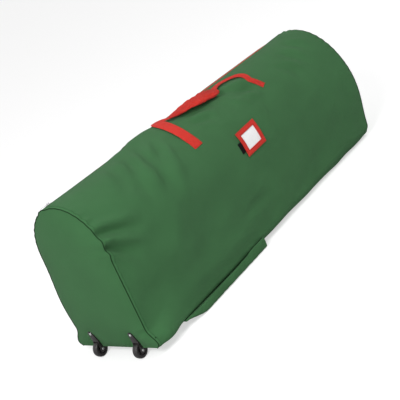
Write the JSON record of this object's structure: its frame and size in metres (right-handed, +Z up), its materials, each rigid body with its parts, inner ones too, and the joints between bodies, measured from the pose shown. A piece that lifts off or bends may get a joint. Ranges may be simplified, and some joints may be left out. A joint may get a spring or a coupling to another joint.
{
  "type": "christmas tree storage bag",
  "caption": "Long wheeled zip-up fabric duffel for an artificial tree, with carry handles, a card window and a skid under the belly.",
  "frame": {"origin": "centre of the bounding box on the floor that the bag lies on", "axes": "+X along the bag from the wheel end to the far end, -Y towards the side with the card window, +Z up"},
  "size_m": [1.4325, 0.376, 0.5393],
  "materials": {
    "green_polyester": "plain woven polyester, matt",
    "black_tape": "woven tape, matt",
    "red_zip_tape": "woven zip tape, matt",
    "red_zip_coil": "moulded coil, half gloss",
    "red_webbing": "polypropylene webbing, matt",
    "nickel_plate": "nickel plated steel, bright",
    "black_moulding": "moulded plastic, gloss",
    "black_tyre": "moulded tyre, half gloss",
    "hardboard": "pressed board, matt",
    "clear_vinyl": "clear vinyl film, gloss",
    "white_card": "plain card, matt"
  },
  "bodies": {
    "bag": {"side_panel_near": "green_polyester", "side_panel_far": "green_polyester", "bottom_panel": "green_polyester", "end_panel_wheels": "green_polyester", "end_panel_far": "green_polyester", "skid_pad": "green_polyester", "seam_binding_wheels": "black_tape", "seam_binding_far": "black_tape", "black_tab": "black_tape", "zipper_end_wheels": "red_zip_tape", "zipper_end_far": "red_zip_tape", "base_board": "hardboard", "wheel_bracket_near": "black_moulding", "wheel_bracket_far": "black_moulding", "bracket_rivet_near": "nickel_plate", "bracket_rivet_far": "nickel_plate", "rivet_washer_near": "nickel_plate", "rivet_washer_far": "nickel_plate", "wheel_axle_near": "nickel_plate", "wheel_axle_far": "nickel_plate", "card_holder_frame": "red_webbing", "card_holder_window": "clear_vinyl"},
    "near_wheel": {"wheel_tyre_near": "black_tyre", "wheel_hub_near": "black_moulding"},
    "far_wheel": {"wheel_tyre_far": "black_tyre", "wheel_hub_far": "black_moulding"},
    "near_flap": {"mouth_flap_near": "green_polyester", "zipper_tape_near": "red_zip_tape", "zipper_coil_near": "red_zip_coil", "handle_end_near_a": "red_webbing", "handle_end_near_b": "red_webbing"},
    "far_flap": {"mouth_flap_far": "green_polyester", "zipper_tape_far": "red_zip_tape", "zipper_coil_far": "red_zip_coil", "handle_end_far_a": "red_webbing", "handle_end_far_b": "red_webbing"},
    "near_handle": {"handle_strap_near": "red_webbing", "handle_grip_wrap": "red_webbing"},
    "far_handle": {"handle_strap_far": "red_webbing"},
    "slider": {"zipper_slider": "nickel_plate"},
    "pull": {"zipper_pull": "nickel_plate"},
    "card": {"name_card": "white_card"}
  },
  "joints": [
    {"name": "near_wheel_spin", "type": "hinge", "parent": "bag", "child": "near_wheel", "pos_m": [-0.687, -0.087, 0.0265], "axis": [0, 1, 0], "continuous": true},
    {"name": "far_wheel_spin", "type": "hinge", "parent": "bag", "child": "far_wheel", "pos_m": [-0.687, 0.087, 0.0265], "axis": [0, 1, 0], "continuous": true},
    {"name": "near_flap_fold", "type": "hinge", "parent": "bag", "child": "near_flap", "pos_m": [-0.553, -0.16822, 0.39858], "axis": [0.9999, 0.0106, -0.011], "range_deg": [0, 110]},
    {"name": "far_flap_fold", "type": "hinge", "parent": "bag", "child": "far_flap", "pos_m": [-0.553, 0.16822, 0.39858], "axis": [-0.9999, 0.0106, 0.011], "range_deg": [0, 110]},
    {"name": "near_handle_lift", "type": "hinge", "parent": "near_flap", "child": "near_handle", "pos_m": [-0.152, -0.11133, 0.4664], "axis": [0.9986, 0.0492, -0.0199], "range_deg": [0, 115]},
    {"name": "far_handle_lift", "type": "hinge", "parent": "far_flap", "child": "far_handle", "pos_m": [-0.152, 0.11234, 0.46552], "axis": [-0.9975, -0.0141, 0.0699], "range_deg": [0, 115]},
    {"name": "zip_run", "type": "slide", "parent": "bag", "child": "slider", "axis": [0.9981, 0.0117, -0.0605], "range_m": [0, 1.3]},
    {"name": "pull_swing", "type": "hinge", "parent": "slider", "child": "pull", "pos_m": [-0.64452, 0.05373, 0.52992], "axis": [-0.033, 0.9302, -0.3655], "range_deg": [0, 150]},
    {"name": "card_slide", "type": "slide", "parent": "bag", "child": "card", "axis": [1, 0, 0], "range_m": [0, 0.07]}
  ]
}
